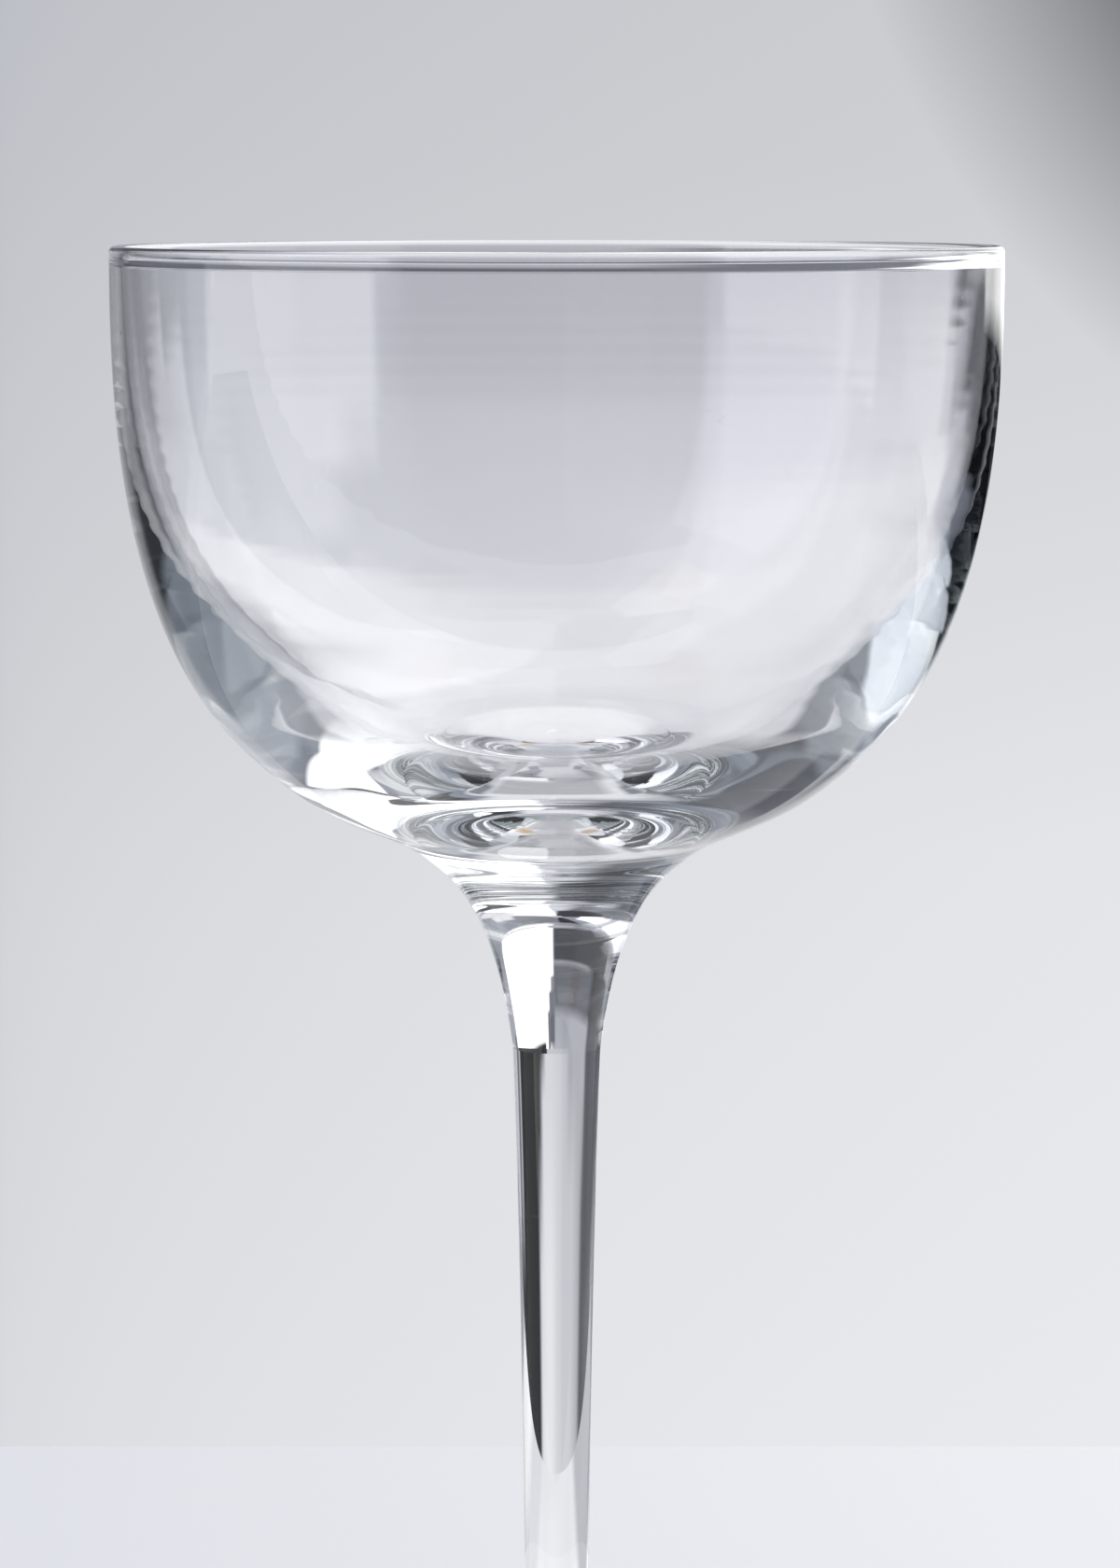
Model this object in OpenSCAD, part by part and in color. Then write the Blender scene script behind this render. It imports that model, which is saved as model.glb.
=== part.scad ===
// Small stemmed cocktail glass: a wide blown bowl with a heavy base, a slim drawn stem and a round foot.
// Four pieces of clear glass meet face to face, as they are fused while hot.
// The glass stands on the flat ring under its foot, with its axis along Z.

/* [Whole glass] */
// Height from the table to the rim
glass_h = 155; // [140:1:175]

/* [Bowl] */
// Outside width at the rim
rim_d = 82; // [76:1:90]
// Height of the bowl from its crease ring to the rim
bowl_h = 56.4; // [52:0.2:62]
// Thickness of the solid base under the middle of the cup
base_t = 7; // [5.6:0.2:10]
// Width at the crease ring, where the underside turns into the neck
crease_d = 24.6; // [20:0.2:28]

/* [Lip] */
// Thickness of the wall just under the lip
lip_wall_t = 1.1; // [0.9:0.05:1.3]
// Thickness of the fire-polished lip
lip_t = 1.2; // [1.1:0.05:1.6]
// Height of the lip, down to its lower edge inside
lip_h = 1.7; // [1.3:0.1:2.4]
// Rise of the lip's rounded top
lip_round = 0.5; // [0.3:0.05:0.8]

/* [Neck] */
// Height of the neck from the weld seam to the crease ring
neck_h = 18; // [15:0.5:22]
// Width at the weld seam, where the neck meets the stem
seam_d = 8.2; // [7:0.1:10]

/* [Stem] */
// Width of the stem at its waist
waist_d = 5.9; // [4.5:0.1:7]
// Height of the waist above the table
waist_h = 20; // [16:0.5:30]

/* [Foot] */
// Width of the foot
foot_d = 70; // [60:1:80]
// Height of the foot's joint with the stem
foot_h = 9; // [7:0.5:12]
// Width at the foot's joint with the stem
foot_top_d = 7.2; // [7:0.1:10]
// Thickness of the foot at its round edge
foot_edge_t = 2.2; // [1.6:0.1:3]
// Width of the flat ring that the glass stands on
rest_ring_w = 2.5; // [1:0.1:5]
// Rise of the hollow under the foot
foot_hollow_h = 1; // [0.4:0.1:1.6]

/* [Hidden] */

// Flat pieces to a full turn, and pieces to each curve of an outline
$fn = 96;
curve_steps = 20;
lip_steps = 12;
edge_steps = 10;

clear_glass = [0.87, 0.90, 0.92];

// Heights of the three joints and of the cup's inner bottom
crease_z = glass_h - bowl_h;
seam_z = crease_z - neck_h;
cup_depth = bowl_h - base_t;
cup_r = rim_d / 2 - lip_wall_t;

// Shape of the bowl's outside: its shoulder as shares of the rim's radius and the bowl's height,
// the pull of each curve's ends as shares of the bowl's height, and its slopes as angles in degrees
shoulder_shares = [0.72, 0.81];
bowl_pull_shares = [0.215, 0.287, 0.213, 0.092];
shoulder_angle = 45.5;
crease_angle = 38;

// Shape of the cup inside, in the same terms, as shares of the cup's radius and depth
cup_shoulder_shares = [0.69, 0.828];
cup_pull_shares = [0.32, 0.305, 0.21, 0.2];
cup_lip_angle = 88;
cup_shoulder_angle = 45;

// Pull of the lip's inner face, as shares of its own height and of the swelling inwards
lip_pull_shares = [0.5, 0.3];

// Shape of the neck: slopes as angles in degrees, pulls as shares of the neck's height
neck_top_angle = 42;
neck_seam_angle = 83;
neck_pull_shares = [0.13, 0.8];

// Shape of the stem: slope at the seam in degrees, pulls as shares of the height above and below its waist
stem_seam_angle = 87.5;
stem_pull_shares = [0.165, 0.317];
stem_foot_pull_shares = [0.5, 0.35];

// Shape of the foot: slopes as angles in degrees, pulls as shares of its joint's height and its radius
foot_joint_angle = 78;
foot_edge_angle = 4.5;
foot_pull_shares = [0.69, 0.71];
foot_hollow_pull_shares = [0.3, 0.6];

// Point at share t of the curve from a to d that is pulled towards b and c
function curve_point(a, b, c, d, t) =
    pow(1 - t, 3) * a + 3 * pow(1 - t, 2) * t * b + 3 * (1 - t) * pow(t, 2) * c + pow(t, 3) * d;

// Points of that curve after its first one
function curve(a, b, c, d) = [for (i = [1:curve_steps]) curve_point(a, b, c, d, i / curve_steps)];

// Point at a distance from another, with 0 degrees outwards and 90 upwards, and behind it if negative
function away(from, distance, angle) = from + distance * [cos(angle), sin(angle)];

// Points of an arc after its first one, flattened or not, from one angle to another
function arc(centre, radius_r, radius_z, from, to, steps) =
    [for (i = [1:steps])
        let (angle = from + (to - from) * i / steps)
        centre + [radius_r * cos(angle), radius_z * sin(angle)]];

// Outside of the bowl from the crease ring up to the lip
function bowl_outside() =
    let (
        rim = [rim_d / 2, glass_h - lip_round],
        shoulder = [shoulder_shares[0] * rim_d / 2, glass_h - shoulder_shares[1] * bowl_h],
        crease = [crease_d / 2, crease_z],
        pulls = bowl_pull_shares * bowl_h
    )
    concat(
        [crease],
        curve(
            crease,
            away(crease, pulls[3], crease_angle),
            away(shoulder, -pulls[2], shoulder_angle),
            shoulder
        ),
        curve(shoulder, away(shoulder, pulls[1], shoulder_angle), rim - [0, pulls[0]], rim)
    );

// Rounded top of the lip, its swelling inwards and its lower edge
function lip_outline() =
    let (
        centre = [rim_d / 2 - lip_t / 2, glass_h - lip_round],
        swell = [rim_d / 2 - lip_t, glass_h - lip_round],
        lower_edge = [cup_r, glass_h - lip_h],
        face_h = lip_h - lip_round,
        swell_t = lip_t - lip_wall_t
    )
    concat(
        arc(centre, lip_t / 2, lip_round, 0, 180, lip_steps),
        curve(
            swell,
            swell - [0, lip_pull_shares[0] * face_h],
            lower_edge + [-(1 - lip_pull_shares[1]) * swell_t, lip_pull_shares[1] * face_h],
            lower_edge
        )
    );

// Inside of the cup from the lip down to its middle
function cup_inside() =
    let (
        top = [cup_r, glass_h - lip_h],
        shoulder = [cup_shoulder_shares[0] * cup_r, glass_h - cup_shoulder_shares[1] * cup_depth],
        bottom = [0, glass_h - cup_depth],
        pulls = cup_pull_shares * cup_depth
    )
    concat(
        curve(
            top,
            away(top, -pulls[0], cup_lip_angle),
            away(shoulder, pulls[1], cup_shoulder_angle),
            shoulder
        ),
        curve(
            shoulder,
            away(shoulder, -pulls[2], cup_shoulder_angle),
            bottom + [pulls[3], 0],
            bottom
        )
    );

// Blown cup with its lip and the heavy base
module bowl() {
    color(clear_glass)
    rotate_extrude()
    polygon(concat([[0, crease_z]], bowl_outside(), lip_outline(), cup_inside()));
}

// Flared gather that is stuck to the bowl's base and drawn down to the seam
module neck() {
    crease = [crease_d / 2, crease_z];
    seam = [seam_d / 2, seam_z];
    pulls = neck_pull_shares * neck_h;
    side = curve(
        seam,
        away(seam, pulls[1], neck_seam_angle),
        away(crease, -pulls[0], neck_top_angle),
        crease
    );
    color(clear_glass)
    rotate_extrude()
    polygon(concat([[0, seam_z], seam], side, [[0, crease_z]]));
}

// Drawn rod that thins to a waist and opens again above the foot
module stem() {
    seam = [seam_d / 2, seam_z];
    waist = [waist_d / 2, waist_h];
    joint = [foot_top_d / 2, foot_h];
    upper_h = seam_z - waist_h;
    lower_h = waist_h - foot_h;
    upper_side = curve(
        waist,
        waist + [0, stem_pull_shares[1] * upper_h],
        away(seam, -stem_pull_shares[0] * upper_h, stem_seam_angle),
        seam
    );
    lower_side = curve(
        joint,
        away(joint, -stem_foot_pull_shares[1] * lower_h, -foot_joint_angle),
        waist - [0, stem_foot_pull_shares[0] * lower_h],
        waist
    );
    color(clear_glass)
    rotate_extrude()
    polygon(concat([[0, foot_h], joint], lower_side, upper_side, [[0, seam_z]]));
}

// Pressed disc that rises to the stem, with a round edge and a shallow hollow underneath
module foot() {
    edge_r = foot_edge_t / 2;
    edge_centre = [foot_d / 2 - edge_r, edge_r];
    edge_top = away(edge_centre, edge_r, 90 - foot_edge_angle);
    ring_inner_r = edge_centre[0] - rest_ring_w;
    joint = [foot_top_d / 2, foot_h];
    underside = curve(
        [0, foot_hollow_h],
        [foot_hollow_pull_shares[0] * ring_inner_r, foot_hollow_h],
        [foot_hollow_pull_shares[1] * ring_inner_r, foot_hollow_h],
        [ring_inner_r, 0]
    );
    top = curve(
        edge_top,
        away(edge_top, -foot_pull_shares[1] * foot_d / 2, -foot_edge_angle),
        away(joint, foot_pull_shares[0] * foot_h, -foot_joint_angle),
        joint
    );
    color(clear_glass)
    rotate_extrude()
    polygon(concat(
        [[0, foot_hollow_h]],
        underside,
        [[edge_centre[0], 0]],
        arc(edge_centre, edge_r, edge_r, -90, 90 - foot_edge_angle, edge_steps),
        top,
        [[0, foot_h]]
    ));
}

bowl();
neck();
stem();
foot();
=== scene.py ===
"""Clear stemmed cocktail glass: a blown bowl, drawn stem and pressed foot, on a pale table in soft light."""

import math

import bmesh
import bpy
from bpy.props import FloatProperty, FloatVectorProperty, IntProperty, PointerProperty
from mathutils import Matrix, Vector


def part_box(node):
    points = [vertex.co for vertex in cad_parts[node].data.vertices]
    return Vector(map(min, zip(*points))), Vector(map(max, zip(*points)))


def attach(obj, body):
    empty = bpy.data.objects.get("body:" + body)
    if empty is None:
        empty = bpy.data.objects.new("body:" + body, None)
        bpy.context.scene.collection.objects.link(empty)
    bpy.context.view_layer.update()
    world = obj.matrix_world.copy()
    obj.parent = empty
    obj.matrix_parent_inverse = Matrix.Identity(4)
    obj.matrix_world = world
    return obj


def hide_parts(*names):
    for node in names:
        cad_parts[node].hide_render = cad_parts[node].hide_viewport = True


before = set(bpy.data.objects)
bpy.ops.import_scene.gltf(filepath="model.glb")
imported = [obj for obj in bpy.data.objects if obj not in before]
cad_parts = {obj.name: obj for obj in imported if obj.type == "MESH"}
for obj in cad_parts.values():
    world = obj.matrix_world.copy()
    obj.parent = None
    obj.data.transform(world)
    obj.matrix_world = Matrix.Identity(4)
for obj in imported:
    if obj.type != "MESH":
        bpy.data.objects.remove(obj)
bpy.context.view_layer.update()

bl_info = {
    "name": "Stemmed Cocktail Glass",
    "version": (1, 0, 0),
    "blender": (4, 5, 0),
    "location": "3D View > Sidebar > Glass",
    "description": "Turns a clear stemmed cocktail glass from its outlines and sets it in a small studio",
    "category": "Add Mesh",
}

MM = 0.001
BODY = "root"
PHOTO_SIZE = (1200, 1680)

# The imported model's own places: the rim, the crease ring, the weld seam and the foot's joint
BOWL_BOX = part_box("bowl")
NECK_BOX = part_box("neck")
STEM_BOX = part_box("stem")
FOOT_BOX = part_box("foot")


def linear(hex_colour):
    """Linear colour of an sRGB hex value such as "d8dade"."""
    shares = [int(hex_colour[i:i + 2], 16) / 255 for i in (0, 2, 4)]
    return tuple(s / 12.92 if s <= 0.04045 else ((s + 0.055) / 1.055) ** 2.4 for s in shares)


class GlassSizes(bpy.types.PropertyGroup):
    """Sizes of the glass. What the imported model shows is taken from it."""

    glass_h: FloatProperty(
        name="Height", description="From the table to the rim",
        default=BOWL_BOX[1].z, min=0.1, max=0.25, unit="LENGTH", subtype="DISTANCE")
    rim_d: FloatProperty(
        name="Rim Width", description="Outside width at the rim",
        default=BOWL_BOX[1].x - BOWL_BOX[0].x, min=0.05, max=0.12, unit="LENGTH", subtype="DISTANCE")
    bowl_h: FloatProperty(
        name="Bowl Height", description="From the crease ring to the rim",
        default=BOWL_BOX[1].z - BOWL_BOX[0].z, min=0.03, max=0.1, unit="LENGTH", subtype="DISTANCE")
    base_t: FloatProperty(
        name="Base Thickness", description="Solid glass under the middle of the cup",
        default=7 * MM, min=4 * MM, max=14 * MM, unit="LENGTH", subtype="DISTANCE")
    crease_d: FloatProperty(
        name="Crease Width", description="Width at the crease ring, where the underside turns into the neck",
        default=NECK_BOX[1].x - NECK_BOX[0].x, min=0.015, max=0.04, unit="LENGTH", subtype="DISTANCE")
    wall_t: FloatProperty(
        name="Wall", description="Thickness of the wall just under the lip",
        default=1.1 * MM, min=0.8 * MM, max=1.4 * MM, unit="LENGTH", subtype="DISTANCE")
    lip_t: FloatProperty(
        name="Lip Thickness", description="Thickness of the fire-polished lip",
        default=1.2 * MM, min=1 * MM, max=2 * MM, unit="LENGTH", subtype="DISTANCE")
    lip_h: FloatProperty(
        name="Lip Height", description="Down to the lip's lower edge inside",
        default=1.7 * MM, min=1.2 * MM, max=2.5 * MM, unit="LENGTH", subtype="DISTANCE")
    lip_round: FloatProperty(
        name="Lip Rise", description="Rise of the lip's rounded top",
        default=0.5 * MM, min=0.2 * MM, max=1 * MM, unit="LENGTH", subtype="DISTANCE")
    neck_h: FloatProperty(
        name="Neck Height", description="From the weld seam to the crease ring",
        default=NECK_BOX[1].z - NECK_BOX[0].z, min=0.01, max=0.03, unit="LENGTH", subtype="DISTANCE")
    seam_d: FloatProperty(
        name="Seam Width", description="Width at the weld seam between the neck and the stem",
        default=STEM_BOX[1].x - STEM_BOX[0].x, min=5 * MM, max=12 * MM, unit="LENGTH", subtype="DISTANCE")
    waist_d: FloatProperty(
        name="Stem Width", description="Width of the stem at its waist",
        default=5.9 * MM, min=4 * MM, max=8 * MM, unit="LENGTH", subtype="DISTANCE")
    waist_h: FloatProperty(
        name="Waist Height", description="Height of the stem's waist above the table",
        default=20 * MM, min=12 * MM, max=40 * MM, unit="LENGTH", subtype="DISTANCE")
    foot_d: FloatProperty(
        name="Foot Width", description="Width of the foot",
        default=FOOT_BOX[1].x - FOOT_BOX[0].x, min=0.05, max=0.1, unit="LENGTH", subtype="DISTANCE")
    foot_h: FloatProperty(
        name="Foot Height", description="Height of the foot's joint with the stem",
        default=FOOT_BOX[1].z, min=5 * MM, max=15 * MM, unit="LENGTH", subtype="DISTANCE")
    foot_top_d: FloatProperty(
        name="Foot Joint Width", description="Width at the foot's joint with the stem",
        default=7.2 * MM, min=6 * MM, max=12 * MM, unit="LENGTH", subtype="DISTANCE")
    foot_edge_t: FloatProperty(
        name="Foot Edge", description="Thickness of the foot at its round edge",
        default=2.2 * MM, min=1 * MM, max=4 * MM, unit="LENGTH", subtype="DISTANCE")
    rest_ring_w: FloatProperty(
        name="Rest Ring", description="Width of the flat ring that the glass stands on",
        default=2.5 * MM, min=0.5 * MM, max=6 * MM, unit="LENGTH", subtype="DISTANCE")
    foot_hollow_h: FloatProperty(
        name="Foot Hollow", description="Rise of the hollow under the foot",
        default=1 * MM, min=0, max=2 * MM, unit="LENGTH", subtype="DISTANCE")


class GlassFinish(bpy.types.PropertyGroup):
    """Look of the glass itself."""

    ior: FloatProperty(
        name="IOR", description="Refraction of clear soda-lime to crystalline glass",
        default=1.52, min=1.45, max=1.7)
    tint: FloatVectorProperty(
        name="Tint", description="Colour that light takes on in passing a surface",
        default=linear("fdfdff"), min=0, max=1, size=3, subtype="COLOR")
    wave_pitch: FloatProperty(
        name="Wave Pitch", description="Height of one faint wave in the blown wall",
        default=1.87 * MM, min=0.5 * MM, max=5 * MM, unit="LENGTH", subtype="DISTANCE")
    wave_rise: FloatProperty(
        name="Wave Rise", description="Rise of the faint waves, from the mean surface",
        default=0.001 * MM, min=0, max=0.1 * MM, precision=5, unit="LENGTH", subtype="DISTANCE")
    cord_pitch: FloatProperty(
        name="Cord Pitch", description="Height between the faint rings that turning leaves in hot glass",
        default=4 * MM, min=1 * MM, max=20 * MM, unit="LENGTH", subtype="DISTANCE")
    cord_rise: FloatProperty(
        name="Cord Rise", description="Rise of the faint rings",
        default=0.0006 * MM, min=0, max=0.01 * MM, precision=6, unit="LENGTH", subtype="DISTANCE")
    seed_rise: FloatProperty(
        name="Seed Rise", description="Rise of the glass over a seed, a bubble smaller than a pinhead",
        default=0.012 * MM, min=0, max=0.1 * MM, precision=5, unit="LENGTH", subtype="DISTANCE")
    turns: IntProperty(
        name="Turns", description="Flat pieces to a full turn of each spun surface",
        default=256, min=48, max=512)


class StageLook(bpy.types.PropertyGroup):
    """Table and light."""

    back_edge: FloatProperty(
        name="Table Back Edge", description="Distance of the table's back edge behind the glass",
        default=0.182, min=0.05, max=2, unit="LENGTH", subtype="DISTANCE")
    front_edge: FloatProperty(
        name="Table Front Edge", description="Distance of the table's front edge before the glass",
        default=0.15, min=0.05, max=2, unit="LENGTH", subtype="DISTANCE")
    lamp_power: FloatProperty(
        name="Lamp Power", description="Power of the soft overhead lamp",
        default=9.0, min=0, max=100, unit="POWER")


class GlassSettings(bpy.types.PropertyGroup):
    """All settings of the glass and its stage."""

    sizes: PointerProperty(type=GlassSizes)
    finish: PointerProperty(type=GlassFinish)
    stage: PointerProperty(type=StageLook)


# Steps to each curve and arc of an outline, with more where the glass bends most what is seen through it
CURVE_STEPS = 60
CUP_SIDE_STEPS = 240
CUP_FLOOR_STEPS = 120
LIP_TOP_STEPS = 20
LIP_FACE_STEPS = 16
DRAWN_STEPS = 120
FOOT_TOP_STEPS = 90
FOOT_EDGE_STEPS = 24
# Turn past which an edge stays sharp, in degrees, and the pitches in which the wall's waves fade in and out
SHARP_TURN = 15
WAVE_FADE_PITCHES = 4

# Outlines are lists of points (radius, height) in metres, from the axis out and round. Slopes are angles in
# degrees. Places of shoulders, and the pull of each curve's ends, are shares of the radius, height or depth
# that they follow.

SHOULDER_SHARES = (0.72, 0.81)
SHOULDER_ANGLE = 45.5
CREASE_ANGLE = 38
BOWL_PULL_SHARES = (0.215, 0.287, 0.213, 0.092)
CUP_SHOULDER_SHARES = (0.69, 0.828)
CUP_SHOULDER_ANGLE = 45
CUP_LIP_ANGLE = 88
CUP_PULL_SHARES = (0.32, 0.305, 0.21, 0.2)
LIP_PULL_SHARES = (0.5, 0.3)
NECK_TOP_ANGLE = 42
NECK_SEAM_ANGLE = 83
NECK_PULL_SHARES = (0.13, 0.8)
STEM_SEAM_ANGLE = 87.5
STEM_PULL_SHARES = (0.165, 0.317)
STEM_FOOT_PULL_SHARES = (0.5, 0.35)
FOOT_JOINT_ANGLE = 78
FOOT_EDGE_ANGLE = 4.5
FOOT_PULL_SHARES = (0.69, 0.71)
FOOT_HOLLOW_PULL_SHARES = (0.3, 0.6)


def curve(a, b, c, d, steps=CURVE_STEPS):
    """Points, after the first, of the smooth curve from a to d that is pulled towards b and c."""
    points = []
    for i in range(1, steps + 1):
        t = i / steps
        weights = ((1 - t) ** 3, 3 * (1 - t) ** 2 * t, 3 * (1 - t) * t * t, t ** 3)
        points.append(tuple(sum(w * p[k] for w, p in zip(weights, (a, b, c, d))) for k in (0, 1)))
    return points


def away(start, distance, degrees):
    """Point at a distance from start, with 0 degrees outwards and 90 upwards, or behind it if negative."""
    angle = math.radians(degrees)
    return start[0] + distance * math.cos(angle), start[1] + distance * math.sin(angle)


def arc(centre, radius_r, radius_z, start, end, steps):
    """Points, after the first, of an arc between two angles in degrees."""
    turns = [math.radians(start + (end - start) * i / steps) for i in range(1, steps + 1)]
    return [(centre[0] + radius_r * math.cos(a), centre[1] + radius_z * math.sin(a)) for a in turns]


def crease_point(s):
    """Where the bowl's underside turns into the neck."""
    return s.crease_d / 2, s.glass_h - s.bowl_h


def seam_point(s):
    """Where the neck is welded to the stem."""
    return s.seam_d / 2, s.glass_h - s.bowl_h - s.neck_h


def foot_joint_point(s):
    """Where the stem meets the foot."""
    return s.foot_top_d / 2, s.foot_h


def bowl_outside(s):
    """Outside of the bowl, from the crease ring up to the lip."""
    rim = (s.rim_d / 2, s.glass_h - s.lip_round)
    shoulder = (SHOULDER_SHARES[0] * s.rim_d / 2, s.glass_h - SHOULDER_SHARES[1] * s.bowl_h)
    crease = crease_point(s)
    at_rim, over, under, at_crease = (share * s.bowl_h for share in BOWL_PULL_SHARES)
    lower = curve(
        crease,
        away(crease, at_crease, CREASE_ANGLE),
        away(shoulder, -under, SHOULDER_ANGLE),
        shoulder,
    )
    upper = curve(shoulder, away(shoulder, over, SHOULDER_ANGLE), (rim[0], rim[1] - at_rim), rim)
    return [crease] + lower + upper


def lip(s):
    """Rounded top of the lip and its swelling inwards, down to its lower edge."""
    edge = (s.rim_d / 2 - s.wall_t, s.glass_h - s.lip_h)
    swell = (s.rim_d / 2 - s.lip_t, s.glass_h - s.lip_round)
    face_h, swell_t = s.lip_h - s.lip_round, s.lip_t - s.wall_t
    top = arc((s.rim_d / 2 - s.lip_t / 2, swell[1]), s.lip_t / 2, s.lip_round, 0, 180, LIP_TOP_STEPS)
    face = curve(
        swell,
        (swell[0], swell[1] - LIP_PULL_SHARES[0] * face_h),
        (edge[0] - (1 - LIP_PULL_SHARES[1]) * swell_t, edge[1] + LIP_PULL_SHARES[1] * face_h),
        edge,
        LIP_FACE_STEPS,
    )
    return top + face


def cup_inside(s):
    """Inside of the cup from the lip down to its middle, as its side and its floor."""
    inner_r = s.rim_d / 2 - s.wall_t
    depth = s.bowl_h - s.base_t
    at_lip, over, under, at_middle = (share * depth for share in CUP_PULL_SHARES)
    top = (inner_r, s.glass_h - s.lip_h)
    shoulder = (CUP_SHOULDER_SHARES[0] * inner_r, s.glass_h - CUP_SHOULDER_SHARES[1] * depth)
    bottom = (0.0, s.glass_h - depth)
    side = curve(
        top,
        away(top, -at_lip, CUP_LIP_ANGLE),
        away(shoulder, over, CUP_SHOULDER_ANGLE),
        shoulder,
        CUP_SIDE_STEPS,
    )
    floor = curve(
        shoulder,
        away(shoulder, -under, CUP_SHOULDER_ANGLE),
        (at_middle, bottom[1]),
        bottom,
        CUP_FLOOR_STEPS,
    )
    return side, floor


def waved(points, pitch, rise):
    """The same outline with faint waves along it, which fade in and out at its ends."""
    lengths = [0.0]
    for a, b in zip(points, points[1:]):
        lengths.append(lengths[-1] + math.dist(a, b))
    total = lengths[-1]
    fade = WAVE_FADE_PITCHES * pitch
    moved = []
    for i, (point, length) in enumerate(zip(points, lengths)):
        before, after = points[max(i - 1, 0)], points[min(i + 1, len(points) - 1)]
        run = math.dist(before, after)
        across = ((after[1] - before[1]) / run, (before[0] - after[0]) / run)
        ends = min(1.0, length / fade, (total - length) / fade)
        swell = rise * ends * math.sin(2 * math.pi * length / pitch)
        moved.append((point[0] + swell * across[0], point[1] + swell * across[1]))
    return moved


def bowl_outline(s, finish):
    """Whole outline of the bowl, which starts with the joint disc on the neck."""
    edge = lip(s)
    side, floor = cup_inside(s)
    side = waved([edge[-1]] + side, finish.wave_pitch, finish.wave_rise)[1:]
    return [(0.0, s.glass_h - s.bowl_h)] + bowl_outside(s) + edge + side + floor


def neck_outline(s):
    """Outline of the neck, with a joint disc at each end."""
    crease, seam = crease_point(s), seam_point(s)
    at_crease, at_seam = (share * s.neck_h for share in NECK_PULL_SHARES)
    side = curve(
        seam,
        away(seam, at_seam, NECK_SEAM_ANGLE),
        away(crease, -at_crease, NECK_TOP_ANGLE),
        crease,
        DRAWN_STEPS,
    )
    return [(0.0, seam[1]), seam] + side + [(0.0, crease[1])]


def stem_outline(s):
    """Outline of the stem, with a joint disc at each end."""
    seam, joint, waist = seam_point(s), foot_joint_point(s), (s.waist_d / 2, s.waist_h)
    upper_h, lower_h = seam[1] - s.waist_h, s.waist_h - s.foot_h
    at_seam, above = (share * upper_h for share in STEM_PULL_SHARES)
    below, at_joint = (share * lower_h for share in STEM_FOOT_PULL_SHARES)
    lower = curve(joint, away(joint, -at_joint, -FOOT_JOINT_ANGLE), (waist[0], waist[1] - below), waist)
    upper = curve(
        waist,
        (waist[0], waist[1] + above),
        away(seam, -at_seam, STEM_SEAM_ANGLE),
        seam,
        DRAWN_STEPS,
    )
    return [(0.0, joint[1]), joint] + lower + upper + [(0.0, seam[1])]


def foot_outline(s):
    """Outline of the foot, which ends with the joint disc under the stem."""
    edge_r = s.foot_edge_t / 2
    edge = (s.foot_d / 2 - edge_r, edge_r)
    edge_top = away(edge, edge_r, 90 - FOOT_EDGE_ANGLE)
    ring_r = edge[0] - s.rest_ring_w
    joint = foot_joint_point(s)
    near, far = (share * ring_r for share in FOOT_HOLLOW_PULL_SHARES)
    hollow = curve((0.0, s.foot_hollow_h), (near, s.foot_hollow_h), (far, s.foot_hollow_h), (ring_r, 0.0))
    top = curve(
        edge_top,
        away(edge_top, -FOOT_PULL_SHARES[1] * s.foot_d / 2, -FOOT_EDGE_ANGLE),
        away(joint, FOOT_PULL_SHARES[0] * s.foot_h, -FOOT_JOINT_ANGLE),
        joint,
        FOOT_TOP_STEPS,
    )
    side = arc(edge, edge_r, edge_r, -90, 90 - FOOT_EDGE_ANGLE, FOOT_EDGE_STEPS)
    return [(0.0, s.foot_hollow_h)] + hollow + [(edge[0], 0.0)] + side + top + [(0.0, s.foot_h)]


def outline_normals(outline):
    """Normals at both ends of each strip of an outline, kept apart where it turns sharply."""
    strips = []
    for a, b in zip(outline, outline[1:]):
        run = math.dist(a, b)
        strips.append(((b[1] - a[1]) / run, (a[0] - b[0]) / run))
    ends = [[n, n] for n in strips]
    for i, (n, m) in enumerate(zip(strips, strips[1:])):
        if n[0] * m[0] + n[1] * m[1] > math.cos(math.radians(SHARP_TURN)):
            run = math.hypot(n[0] + m[0], n[1] + m[1])
            ends[i][1] = ends[i + 1][0] = ((n[0] + m[0]) / run, (n[1] + m[1]) / run)
    if outline[0][0] == 0:
        ends[0][0] = (0.0, math.copysign(1.0, strips[0][1]))
    if outline[-1][0] == 0:
        ends[-1][1] = (0.0, math.copysign(1.0, strips[-1][1]))
    return ends


def turned(name, outline, joints, turns, materials):
    """Closed piece turned from an outline. Strips whose numbers are in joints take the second material."""
    mesh = bpy.data.meshes.new(name)
    build = bmesh.new()
    angles = [2 * math.pi * k / turns for k in range(turns)]
    spokes = [(math.cos(angle), math.sin(angle)) for angle in angles]
    rings = []
    for r, z in outline:
        spots = [(0.0, 0.0, z)] if r == 0 else [(r * x, r * y, z) for x, y in spokes]
        rings.append([build.verts.new(spot) for spot in spots])
    corner_normals = []
    for i, (low, high, (first, last)) in enumerate(zip(rings, rings[1:], outline_normals(outline))):
        for k in range(turns):
            after = (k + 1) % turns
            here, there = spokes[k], spokes[after]
            corners = [(low[0], first, here)]
            if len(low) > 1:
                corners = [(low[k], first, here), (low[after], first, there)]
            if len(high) > 1:
                corners += [(high[after], last, there), (high[k], last, here)]
            else:
                corners += [(high[0], last, here)]
            face = build.faces.new([vert for vert, _, _ in corners])
            face.smooth = True
            face.material_index = 1 if i in joints else 0
            corner_normals += [(n[0] * x, n[0] * y, n[1]) for _, n, (x, y) in corners]
    build.to_mesh(mesh)
    build.free()
    mesh.normals_split_custom_set(corner_normals)
    for material in materials:
        mesh.materials.append(material)
    piece = bpy.data.objects.new(name, mesh)
    bpy.context.scene.collection.objects.link(piece)
    return piece


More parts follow.
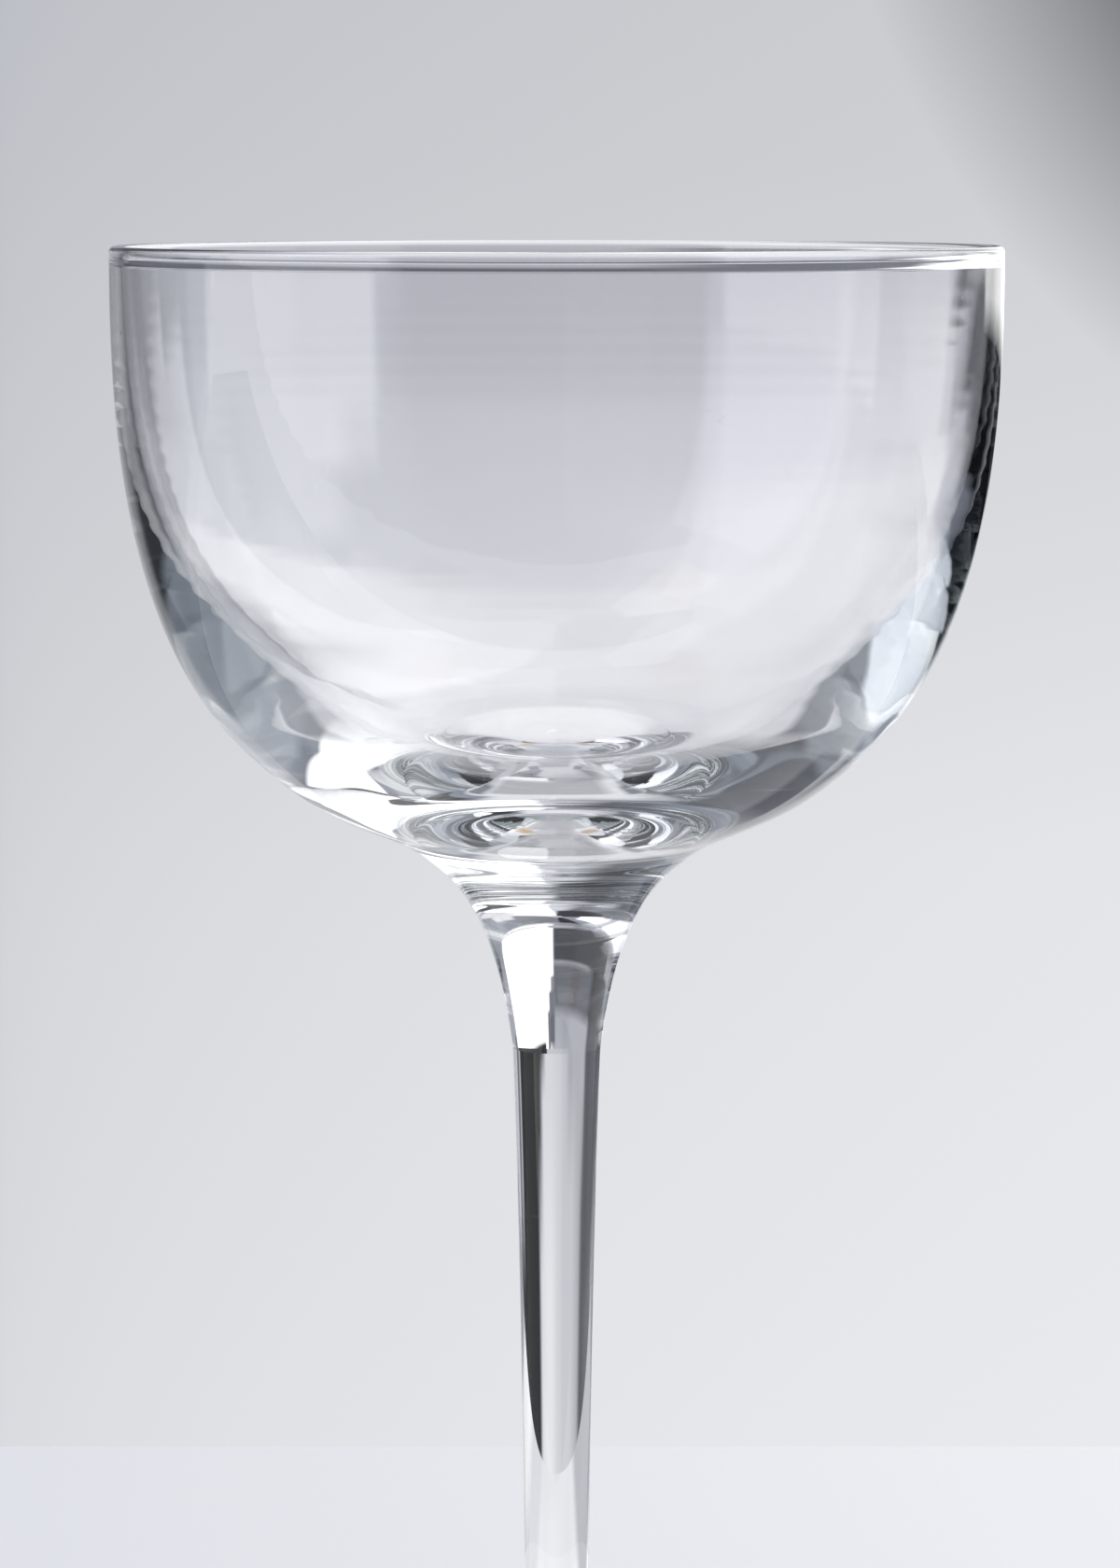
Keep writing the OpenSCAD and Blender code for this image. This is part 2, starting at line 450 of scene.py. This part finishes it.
def add_node(tree, kind, inputs=(), **settings):
    """Adds a shader node with its settings. Each input pairs a socket with a value, an output or a node."""
    node = tree.nodes.new("ShaderNode" + kind)
    for key, value in settings.items():
        setattr(node, key, value)
    for name, value in inputs:
        socket = node.inputs[name]
        if isinstance(value, bpy.types.Node):
            value = value.outputs[0]
        if isinstance(value, bpy.types.NodeSocket):
            tree.links.new(value, socket)
        elif socket.type == "RGBA":
            socket.default_value = (*value, 1.0)
        else:
            socket.default_value = value
    return node


def new_material(name):
    """A material with no nodes yet."""
    material = bpy.data.materials.get(name) or bpy.data.materials.new(name)
    material.use_nodes = True
    material.node_tree.nodes.clear()
    return material


# Marks that shaping leaves in the glass: how far apart seeds lie across and up, in millimetres, their size as
# a share of that, and the share of the faint rings' rise, which drawing the glass out mostly smooths away
BLOWN_MARKS = (12.0, 12.0, 0.018, 1.0)
DRAWN_MARKS = (8.0, 3.0, 0.06, 0.2)
# How uneven the rings are
RING_DETAIL = 2.0


def fire_polished_glass(finish, name, marks):
    """Clear soda-lime glass, shaped hot and fire-polished: the eye sees only what it bends and mirrors.

    It is colourless and mirror-smooth. Turning it leaves faint rings, which make mirrored edges waver, and a
    few seeds glint like pinpricks: round in the blown cup, drawn out level in the stem. Real seeds are finer,
    and are made as coarse as they need to show.
    """
    material = new_material(name)
    tree = material.node_tree
    across, up, seed_share, ring_share = marks
    place = add_node(tree, "TexCoord").outputs["Object"]
    height = add_node(tree, "SeparateXYZ", [("Vector", place)]).outputs["Z"]
    pitches = add_node(tree, "Math", [(0, height), (1, finish.cord_pitch)], operation="DIVIDE")
    cords = add_node(
        tree, "TexNoise", [("W", pitches), ("Scale", 1.0), ("Detail", RING_DETAIL)], noise_dimensions="1D")
    rings = add_node(tree, "Bump", [("Height", cords), ("Distance", ring_share * finish.cord_rise)])
    scale = tuple(1 / (spacing * MM) for spacing in (across, across, up))
    spread = add_node(tree, "VectorMath", [(0, place), (1, scale)], operation="MULTIPLY")
    nearest = add_node(tree, "TexVoronoi", [("Vector", spread), ("Scale", 1.0)])
    seeds = add_node(tree, "MapRange", [
        ("Value", nearest),
        ("From Max", seed_share),
        ("To Min", 1.0),
        ("To Max", 0.0),
    ])
    marked = add_node(tree, "Bump", [("Height", seeds), ("Distance", finish.seed_rise), ("Normal", rings)])
    surface = add_node(tree, "BsdfPrincipled", [
        ("Base Color", finish.tint),
        ("Roughness", 0.0),
        ("IOR", finish.ior),
        ("Transmission Weight", 1.0),
        ("Normal", marked),
    ])
    add_node(tree, "OutputMaterial", [("Surface", surface)])
    return material


def fused_joint():
    """Where two gathers of hot glass fuse no surface is left between them, so light passes straight on."""
    material = new_material("fused_glass_joint")
    tree = material.node_tree
    surface = add_node(tree, "BsdfPrincipled", [("Alpha", 0.0)])
    add_node(tree, "OutputMaterial", [("Surface", surface)])
    return material


def seat(piece, node):
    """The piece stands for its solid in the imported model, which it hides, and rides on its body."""
    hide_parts(node)
    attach(piece, BODY)


class GLASS_OT_bowl(bpy.types.Operator):
    """Blow the bowl, with its lip, faintly waved wall and heavy base"""

    bl_idname = "glass.bowl"
    bl_label = "Bowl"

    def execute(self, context):
        settings = context.scene.cocktail_glass
        outline = bowl_outline(settings.sizes, settings.finish)
        materials = fire_polished_glass(settings.finish, "blown_clear_glass", BLOWN_MARKS), fused_joint()
        seat(turned("bowl_blown", outline, {0}, settings.finish.turns, materials), "bowl")
        return {"FINISHED"}


class GLASS_OT_stem(bpy.types.Operator):
    """Stick the neck to the bowl and draw the stem from it"""

    bl_idname = "glass.stem"
    bl_label = "Neck and Stem"

    def execute(self, context):
        settings = context.scene.cocktail_glass
        materials = fire_polished_glass(settings.finish, "drawn_clear_glass", DRAWN_MARKS), fused_joint()
        for name, node, outline in (
            ("neck_gather", "neck", neck_outline(settings.sizes)),
            ("stem_drawn", "stem", stem_outline(settings.sizes)),
        ):
            joints = {0, len(outline) - 2}
            seat(turned(name, outline, joints, settings.finish.turns, materials), node)
        return {"FINISHED"}


class GLASS_OT_foot(bpy.types.Operator):
    """Press the foot, with its round edge and shallow hollow"""

    bl_idname = "glass.foot"
    bl_label = "Foot"

    def execute(self, context):
        settings = context.scene.cocktail_glass
        outline = foot_outline(settings.sizes)
        materials = fire_polished_glass(settings.finish, "pressed_clear_glass", BLOWN_MARKS), fused_joint()
        seat(turned("foot_pressed", outline, {len(outline) - 2}, settings.finish.turns, materials), "foot")
        return {"FINISHED"}


# The room round the glass, in degrees: azimuth 0 is behind it and 90 on its right, as the camera sees it, and
# elevation 0 is level. Each part has its name, first and last azimuth, lowest and highest elevation, softness
# of its edges, colour, level, and the light that sees it: what the glass has mirrored, what goes straight
# through, or all. A later part covers an earlier one, and a part without a colour is the paper.
ROOM = (
    ("ground", -180, 180, -90, -24, 8, "f4f5f8", 1.0, "mirrored"),
    ("right wall, middle", 60, 100, 2, 22, 5, "bcc0c9", 1.0, "all"),
    ("right wall, front", 100, 137, 2, 22, 5, "989da6", 1.0, "mirrored"),
    ("right wall, foot", 62, 105, -2, 3, 3, "a4a8b0", 1.0, "mirrored"),
    ("right wall, top", 74, 140, 22, 57, 8, "8c929c", 1.0, "mirrored"),
    ("front wall, right", 137, 185, -2, 30, 8, "26282c", 1.0, "mirrored"),
    ("front wall, right top", 140, 190, 30, 57, 10, "3c3e44", 1.0, "mirrored"),
    ("front wall, left", 185, 224, -2, 57, 6, "2c2e34", 1.0, "mirrored"),
    ("ceiling, back right", 0, 75, 60, 90, 8, "ffffff", 1.1, "mirrored"),
    ("ceiling, right", 75, 140, 57, 90, 8, "86888e", 1.0, "mirrored"),
    ("ceiling, front", 140, 185, 57, 90, 8, "7c7e84", 1.0, "mirrored"),
    ("ceiling, front left", -175, -140, 54, 90, 8, "101216", 1.0, "mirrored"),
    ("ceiling, left", -140, -90, 58, 90, 8, "9298a4", 1.0, "mirrored"),
    ("ceiling, back left", -90, 0, 60, 90, 8, "24262a", 1.0, "mirrored"),
    ("ceiling, overhead", -200, 200, 86.5, 100, 3, "bcbec2", 1.0, "mirrored"),
    ("left wall, top", -143, -90, 42, 60, 10, "d0d2d8", 1.0, "mirrored"),
    ("left wall", -137, -89, -1, 43, 3, "f6f8ff", 1.35, "mirrored"),
    ("high lamp", -124, -84, 53, 76, 4, "ffffff", 1.3, "mirrored"),
    ("left box", -133, -79.5, -40, -1, 2, "ffffff", 1.9, "mirrored"),
    ("left box, cut corner", -142, -121, -60, -14.5, 8, "3a3c40", 1.0, "mirrored"),
    ("left box, low corner", -123, -108, -60, -22, 8, "3a3c40", 1.0, "mirrored"),
    ("back left wall, foot", -79.5, -54, -8, 4, 3, "6c6e74", 1.0, "all"),
    ("back left wall", -89, -54, 4, 22, 4, "9da1a9", 1.0, "all"),
    ("back left wall, top", -92, -40, 22, 60, 8, "686b72", 1.0, "all"),
    ("left box, end", -86, -64, -28, -8, 16, "d8dce2", 1.0, "all"),
    ("left gap, foot", -60, -22, -26, -12, 6, "9096a0", 1.0, "all"),
    ("left gap", -56, -24, -13, 14, 5, "54575d", 1.0, "all"),
    ("left gap, seen through", -56, -29, 3, 14, 3, "36383c", 1.0, "straight"),
    ("black card, left", -53, -31, -13, -3, 5, "26282c", 1.0, "all"),
    ("paper", -28, 14, -27, 3, 5, None, 1.0, "all"),
    ("paper, right side", 3, 14, -27, -9, 6, "f0f1f3", 1.0, "all"),
    ("floor, back left", -60, -7, -45, -22, 8, "909298", 1.0, "straight"),
    ("paper, left side", -60, -28, -27, 3, 26, "5c5e64", 1.0, "all"),
    ("paper, left edge", -30, -10, -8, 3, 4, "b2b4ba", 1.0, "straight"),
    ("board", -27, 3, 3, 12, 4, "64676e", 1.0, "straight"),
    ("dark over the board", -45, 2, 13, 33, 2, "47494e", 1.0, "straight"),
    ("backdrop, high", -22, 5, 33, 60, 8, "aaacb2", 1.0, "straight"),
    ("backdrop, top left", -24, -8, 3, 60, 6, "6e7076", 1.0, "mirrored"),
    ("backdrop, top middle", -10, 6, 3, 22, 5, "b4b6bc", 1.0, "mirrored"),
    ("backdrop, top right", -8, 10, 22, 62, 10, "e4e6ea", 1.0, "mirrored"),
    ("right gap", 50, 58, -17, 4, 3, "7c7e84", 1.0, "all"),
    ("window, wing", 51, 80, 20, 62, 7, "ffffff", 1.0, "mirrored"),
    ("window, high wing", 51, 100, 42, 62, 7, "eaeaec", 1.0, "mirrored"),
    ("window, foot", 9, 50, -4.4, 0, 1.2, "3a3c40", 1.0, "all"),
    ("window", 4.5, 38, -2.1, 64, 2, "ffffff", 1.9, "all"),
    ("window, right part", 34, 51, -1, 64, 2, "ffffff", 1.9, "all"),
    ("window, upper left part", 2.5, 7, 9, 64, 1.5, "ffffff", 1.9, "straight"),
    ("window, foot seen through", 9, 50, -4.4, -0.6, 1.2, "3a3c40", 1.0, "straight"),
    ("dark strip", 1.5, 5.8, -1, 6, 1.5, "72757c", 1.0, "all"),
    ("dark strip, foot", 5, 7.2, -3, 3, 1.5, "72757c", 1.0, "straight"),
    ("right box", 58, 104, -60, -2, 3, "ffffff", 1.1, "mirrored"),
    ("right box, front", 104, 137, -60, -2, 3, "d0d2d8", 1.0, "mirrored"),
    ("black card, right", 18.5, 48, -15, -4.2, 4, "0c0c0e", 1.0, "all"),
    ("black card, right middle", 15.3, 30, -9, -4.2, 4, "0c0c0e", 1.0, "all"),
    ("black card, right top", 11.5, 30, -6.8, -4.2, 3, "0c0c0e", 1.0, "all"),
    ("black card, right foot", 26, 68, -17, -9, 3, "0c0c0e", 1.0, "straight"),
    ("right box, low end", 49, 60, -60, -13.5, 3, "ffffff", 1.1, "mirrored"),
    ("dark front", 137, 224.5, -60, -2, 3, "06060a", 1.0, "mirrored"),
)
# Painted light and shade that the table glows with for the glass, in the same order, with x to the right and
# y to the back in millimetres
TABLE_ZONES = (
    ("left light", -160, -50, -70, 60, 30, "ffffff", 1.3, "all"),
    ("left back", -500, -68, 60, 200, 20, "bcbfc4", 1.0, "all"),
    ("left back, dark spot", -96, -58, 104, 176, 14, "84878e", 1.0, "mirrored"),
    ("right back", 60, 500, 20, 200, 20, "dee0e4", 1.0, "all"),
    ("right back, dark spot", 62, 112, 104, 180, 16, "84878e", 1.0, "mirrored"),
    ("right light", 130, 250, 0, 200, 40, "ffffff", 1.05, "all"),
    ("right, far", 250, 500, 0, 200, 30, "b3b5bb", 1.0, "all"),
    ("shaded by the foot", -38, 56, -95, 150, 16, "bcbec2", 1.0, "mirrored"),
    ("behind the foot", -6, 52, 10, 160, 24, "f2f3f5", 1.0, "straight"),
    ("light thrown behind the foot", -60, 52, 10, 112, 20, "ffffff", 1.1, "straight"),
    ("warm patch, right", 62, 105, -125, -78, 12, "cfb18b", 1.0, "mirrored"),
    ("warm patch, left", -105, -66, -130, -84, 12, "c9b09a", 1.0, "mirrored"),
)
# The table's even painted glow outside those zones, what the glass mirrors outside the room's parts, and the
# even light that all but the camera and the glass see
TABLE_SEEN = "eceef1"
MIRRORED_BASE = "8a909c"
PLAIN_LIGHT = "dcdde0"
# Distances from the middle of a part or zone fold back: angles at half a turn, and the table's far past it
HALF_TURN = 180
PAST_TABLE = 10000
# Softness of the level edges in the room, as a share of that of the upright ones
LEVEL_SOFTNESS = 0.5
# Bounces off a surface past which light counts as mirrored
SOME_BOUNCE = 0.5

# Paint of the table with painted window light, on its left and right, how far to each side it changes, in
# millimetres, and its gloss
# Painted shade darkens the left and painted light brightens the right
TABLE_PAINT_SHADED_LEFT = "d8dadf"
TABLE_PAINT_LIT_RIGHT = "eeeff1"
TABLE_LIGHT_FADE = 120
PAINT_ROUGHNESS = 0.7
PAINT_SHEEN = 0.2
TABLE_HALF_WIDTH = 1.5

# Backdrop by elevation, on its left and right, and how far to each side it changes, as a share of distance
BACKDROP_LEFT = (
    (-30, "ecedf0"), (-15.6, "ecedf0"), (-14.4, "d9dbe0"), (-8, "d1d3d7"), (-1, "c2c4ca"), (2, "babdc4"),
    (20, "aeb0b8"),
)
BACKDROP_RIGHT = (
    (-30, "f2f3f5"), (-15.6, "f2f3f5"), (-14.4, "eaebef"), (-7, "e4e5e9"), (-4, "dbdce0"), (0, "cfd0d4"),
    (20, "b4b6bc"),
)
BACKDROP_FADE = 0.1
# Shade in the backdrop's top right corner: its azimuth and elevation, with 0 to fill the vector, and how far
# from there it starts to fade and ends
SHADE_PLACE = (12, 5, 0)
SHADE_REACH = (5.6, 9.4)
SHADE = "000000"
# Painted shade on the paper as the glass sees it, darker higher up: the share of the paper's light left, by
# elevation
PAPER_SHADE_THROUGH_GLASS = (
    (-20, "ffffff"), (-15.6, "ffffff"), (-14.4, "fafafa"), (-10, "fafafb"), (-7, "fafafb"), (-5.2, "fcfcfd"),
    (-4.2, "f4f4f5"), (-3, "ececee"), (0, "e6e6e8"), (10, "e6e6e8"),
)
# Share of the light that stays as it is at each bounce inside the glass, and the tint that the rest takes on
KEPT_AT_BOUNCE = 0.95
LOST_TINT = "95a6aa"

# Colour sockets of a Mix node, which share their names with its other sockets
FIRST, SECOND, MIXED = 6, 7, 2


def by_elevation(tree, elevation, stops):
    """Colour that changes with elevation, from pairs of an elevation and a colour."""
    low, high = stops[0][0], stops[-1][0]
    place = add_node(tree, "MapRange", [("Value", elevation), ("From Min", low), ("From Max", high)])
    ramp = add_node(tree, "ValToRGB", [("Fac", place)])
    elements = ramp.color_ramp.elements
    elements.remove(elements[1])
    elements[0].color = (*linear(stops[0][1]), 1.0)
    for height, colour in stops[1:]:
        elements.new((height - low) / (high - low)).color = (*linear(colour), 1.0)
    return ramp


def within(tree, value, low, high, soft, fold, level=1.0):
    """Level where a value lies between low and high, with soft edges, and 0 outside."""
    apart = add_node(tree, "Math", [(0, value), (1, (low + high) / 2)], operation="SUBTRACT")
    distance = add_node(tree, "Math", [(0, apart), (1, fold)], operation="PINGPONG")
    half = (high - low) / 2
    return add_node(tree, "MapRange", [
        ("Value", distance),
        ("From Min", half - soft / 2),
        ("From Max", half + soft / 2),
        ("To Min", level),
        ("To Max", 0.0),
    ])


def cover(tree, seen, zones, across, along, fold, share, softness=1.0, paper=None):
    """What is seen once each zone lies over those before it, with edges along that differ in softness."""
    for _, start, end, low, high, soft, colour, level, seen_by in zones:
        inside = add_node(tree, "Math", [
            (0, within(tree, across, start, end, soft, fold)),
            (1, within(tree, along, low, high, softness * soft, fold, share[seen_by])),
        ], operation="MULTIPLY")
        tone = [level * part for part in linear(colour)] if colour else paper
        inputs = [(0, inside), (FIRST, seen), (SECOND, tone)]
        seen = add_node(tree, "Mix", inputs, data_type="RGBA").outputs[MIXED]
    return seen


def seen_by_glass(tree, path):
    """Whether the glass sees a place, and whether it sees it mirrored, straight through, or either way."""
    inputs = [(0, path["Is Glossy Ray"]), (1, path["Is Transmission Ray"])]
    by_glass = add_node(tree, "Math", inputs, operation="MAXIMUM")
    mirrored, straight = (
        add_node(tree, "Math", [(0, path["Glossy Depth"]), (1, SOME_BOUNCE)], operation=test)
        for test in ("GREATER_THAN", "LESS_THAN")
    )
    return by_glass, {"mirrored": mirrored, "straight": straight, "all": 1.0}


def lost_inside(tree, light, bounces):
    """Light after its bounces inside the glass, each of which takes a little of it, and red first."""
    further = add_node(tree, "Math", [(0, bounces), (1, 1.0)], operation="SUBTRACT")
    kept = add_node(tree, "Math", [(0, KEPT_AT_BOUNCE), (1, further)], operation="POWER")
    lost = add_node(tree, "Math", [(0, 1.0), (1, kept)], operation="SUBTRACT")
    inputs = [(0, lost), (FIRST, light), (SECOND, linear(LOST_TINT))]
    return add_node(tree, "Mix", inputs, data_type="RGBA", blend_type="MULTIPLY").outputs[MIXED]


def backdrop(tree, side, azimuth, elevation):
    """Pale seamless paper, lit from the right: brighter low down, with a shaded corner at the top right."""
    left = by_elevation(tree, elevation, BACKDROP_LEFT)
    right = by_elevation(tree, elevation, BACKDROP_RIGHT)
    place = add_node(tree, "MapRange", [
        ("Value", side),
        ("From Min", -BACKDROP_FADE),
        ("From Max", BACKDROP_FADE),
    ])
    across = add_node(tree, "Math", [(0, place)], operation="SQRT")
    inputs = [(0, across), (FIRST, left), (SECOND, right)]
    paper = add_node(tree, "Mix", inputs, data_type="RGBA").outputs[MIXED]
    spot = add_node(tree, "CombineXYZ", [("X", azimuth), ("Y", elevation)])
    apart = add_node(tree, "VectorMath", [(0, spot), (1, SHADE_PLACE)], operation="DISTANCE")
    shade = add_node(tree, "MapRange", [
        ("Value", apart.outputs["Value"]),
        ("From Min", SHADE_REACH[0]),
        ("From Max", SHADE_REACH[1]),
        ("To Min", 1.0),
        ("To Max", 0.0),
    ])
    inputs = [(0, shade), (FIRST, paper), (SECOND, linear(SHADE))]
    return add_node(tree, "Mix", inputs, data_type="RGBA").outputs[MIXED]


def studio_world():
    """Room round the glass: pale paper to the camera, all its parts to the glass, plain light to the rest."""
    world = bpy.data.worlds.new("studio_room")
    bpy.context.scene.world = world
    # Light that is even all round needs no map of where it comes from
    world.cycles.sampling_method = "NONE"
    world.use_nodes = True
    tree = world.node_tree
    tree.nodes.clear()
    direction = add_node(tree, "TexCoord").outputs["Generated"]
    x, y, z = add_node(tree, "SeparateXYZ", [("Vector", direction)]).outputs
    around = add_node(tree, "Math", [(0, x), (1, y)], operation="ARCTAN2")
    up = add_node(tree, "Math", [(0, z)], operation="ARCSINE")
    azimuth, elevation = (add_node(tree, "Math", [(0, turn)], operation="DEGREES") for turn in (around, up))
    path = add_node(tree, "LightPath").outputs
    by_glass, share = seen_by_glass(tree, path)
    plain_paper = backdrop(tree, x, azimuth, elevation)
    # The glass sees the paper with painted shade, darker higher up
    through = by_elevation(tree, elevation, PAPER_SHADE_THROUGH_GLASS)
    paper = add_node(tree, "VectorMath", [(0, plain_paper), (1, through)], operation="MULTIPLY")
    inputs = [(0, share["mirrored"]), (FIRST, paper), (SECOND, linear(MIRRORED_BASE))]
    seen = add_node(tree, "Mix", inputs, data_type="RGBA").outputs[MIXED]
    seen = cover(tree, seen, ROOM, azimuth, elevation, HALF_TURN, share, LEVEL_SOFTNESS, paper)
    seen = lost_inside(tree, seen, path["Glossy Depth"])
    inputs = [(0, by_glass), (FIRST, linear(PLAIN_LIGHT)), (SECOND, seen)]
    light = add_node(tree, "Mix", inputs, data_type="RGBA").outputs[MIXED]
    inputs = [(0, path["Is Camera Ray"]), (FIRST, light), (SECOND, plain_paper)]
    light = add_node(tree, "Mix", inputs, data_type="RGBA").outputs[MIXED]
    background = add_node(tree, "Background", [("Color", light)])
    add_node(tree, "OutputWorld", [("Surface", background)])


def painted_table():
    """White-painted board, rolled smooth and half matt: a pale ground with painted light, lighter towards the
    window.
    """
    material = new_material("white_painted_table")
    tree = material.node_tree
    place = add_node(tree, "TexCoord").outputs["Object"]
    millimetres = add_node(tree, "VectorMath", [(0, place), ("Scale", 1 / MM)], operation="SCALE")
    x, y, _ = add_node(tree, "SeparateXYZ", [("Vector", millimetres)]).outputs
    # Painted window light: the paint is darker to the left and lighter to the right
    across = add_node(tree, "MapRange", [("Value", x), ("From Min", -TABLE_LIGHT_FADE), ("From Max", TABLE_LIGHT_FADE)])
    inputs = [(0, across), (FIRST, linear(TABLE_PAINT_SHADED_LEFT)), (SECOND, linear(TABLE_PAINT_LIT_RIGHT))]
    paint_with_painted_light = add_node(tree, "Mix", inputs, data_type="RGBA").outputs[MIXED]
    surface = add_node(tree, "BsdfPrincipled", [
        ("Base Color", paint_with_painted_light),
        ("Roughness", PAINT_ROUGHNESS),
        ("Specular IOR Level", PAINT_SHEEN),
    ])
    path = add_node(tree, "LightPath").outputs
    by_glass, share = seen_by_glass(tree, path)
    # Where the glass sees the table it glows with painted light and shade instead: painted pools of light,
    # the foot's painted shadow and darker spots
    seen = cover(tree, linear(TABLE_SEEN), TABLE_ZONES, x, y, PAST_TABLE, share)
    painted_glow = add_node(tree, "Emission", [("Color", lost_inside(tree, seen, path["Glossy Depth"]))])
    either = add_node(tree, "MixShader", [(0, by_glass), (1, surface), (2, painted_glow)])
    add_node(tree, "OutputMaterial", [("Surface", either)])
    return material


def lay_table(look):
    """Table top with its back and front edges where the photograph shows them."""
    mesh = bpy.data.meshes.new("table_top")
    side, front, back = TABLE_HALF_WIDTH, -look.front_edge, look.back_edge
    corners = [(-side, front, 0), (side, front, 0), (side, back, 0), (-side, back, 0)]
    mesh.from_pydata(corners, [], [(0, 1, 2, 3)])
    mesh.materials.append(painted_table())
    table = bpy.data.objects.new("table_top", mesh)
    bpy.context.scene.collection.objects.link(table)


# The lamp hangs over the back of the table, in metres
LAMP_WIDTH = 1.2
LAMP_PLACE = (0, 0.1, 1.5)


def hang_lamp(power):
    """Large soft lamp over the table, which the glass doesn't show."""
    data = bpy.data.lights.new("overhead_lamp", "AREA")
    data.shape = "SQUARE"
    data.size = LAMP_WIDTH
    data.energy = power
    lamp = bpy.data.objects.new("overhead_lamp", data)
    lamp.location = LAMP_PLACE
    lamp.visible_glossy = False
    lamp.visible_transmission = False
    bpy.context.scene.collection.objects.link(lamp)


# The camera looks down a little from half a metre away, with a long lens
CAMERA_DISTANCE = 0.51
CAMERA_ABOVE_RIM = 7.03 * MM
CAMERA_TILT = 6.35
LENS_PIXELS = 5927
AXIS_COLUMN = 596.5
SENSOR = 36.0
NEAREST_SEEN = 0.01


def set_camera(s):
    """Camera of the photograph: its height, tilt, lens and small sideways shift."""
    data = bpy.data.cameras.new("camera")
    data.sensor_fit = "AUTO"
    data.sensor_width = SENSOR
    data.lens = LENS_PIXELS / max(PHOTO_SIZE) * SENSOR
    data.shift_x = (PHOTO_SIZE[0] / 2 - AXIS_COLUMN) / max(PHOTO_SIZE)
    data.clip_start = NEAREST_SEEN
    camera = bpy.data.objects.new("camera", data)
    camera.location = (0, -CAMERA_DISTANCE, s.glass_h + CAMERA_ABOVE_RIM)
    camera.rotation_euler = (math.radians(90 - CAMERA_TILT), 0, 0)
    bpy.context.scene.collection.objects.link(camera)
    bpy.context.scene.camera = camera


# Thick glass needs many bounces before light finds its way out
GLASS_BOUNCES = 48
CLEAR_LAYERS = 64


class GLASS_OT_stage(bpy.types.Operator):
    """Lay the table, hang the lamp, set the room round the glass and place the camera"""

    bl_idname = "glass.stage"
    bl_label = "Stage"

    def execute(self, context):
        settings = context.scene.cocktail_glass
        scene = context.scene
        scene.view_settings.view_transform = "Standard"
        scene.cycles.max_bounces = GLASS_BOUNCES
        scene.cycles.transmission_bounces = GLASS_BOUNCES
        scene.cycles.glossy_bounces = GLASS_BOUNCES
        scene.cycles.transparent_max_bounces = CLEAR_LAYERS
        studio_world()
        lay_table(settings.stage)
        hang_lamp(settings.stage.lamp_power)
        set_camera(settings.sizes)
        return {"FINISHED"}


class GLASS_PT_panel(bpy.types.Panel):
    """Buttons for each piece and the stage"""

    bl_label = "Stemmed Cocktail Glass"
    bl_idname = "GLASS_PT_panel"
    bl_space_type = "VIEW_3D"
    bl_region_type = "UI"
    bl_category = "Glass"

    def draw(self, context):
        layout = self.layout
        settings = context.scene.cocktail_glass
        for title, group in (
            ("Sizes", settings.sizes),
            ("Finish", settings.finish),
            ("Stage", settings.stage),
        ):
            box = layout.box()
            box.label(text=title)
            for name in group.__annotations__:
                box.prop(group, name)
        for operator in OPERATORS:
            layout.operator(operator.bl_idname)


OPERATORS = (GLASS_OT_bowl, GLASS_OT_stem, GLASS_OT_foot, GLASS_OT_stage)
CLASSES = (GlassSizes, GlassFinish, StageLook, GlassSettings, *OPERATORS, GLASS_PT_panel)


def register():
    for cls in CLASSES:
        bpy.utils.register_class(cls)
    bpy.types.Scene.cocktail_glass = PointerProperty(type=GlassSettings)


def unregister():
    del bpy.types.Scene.cocktail_glass
    for cls in reversed(CLASSES):
        bpy.utils.unregister_class(cls)


def main():
    register()
    bpy.ops.glass.bowl()
    bpy.ops.glass.stem()
    bpy.ops.glass.foot()
    bpy.ops.glass.stage()


if __name__ == "__main__":
    main()
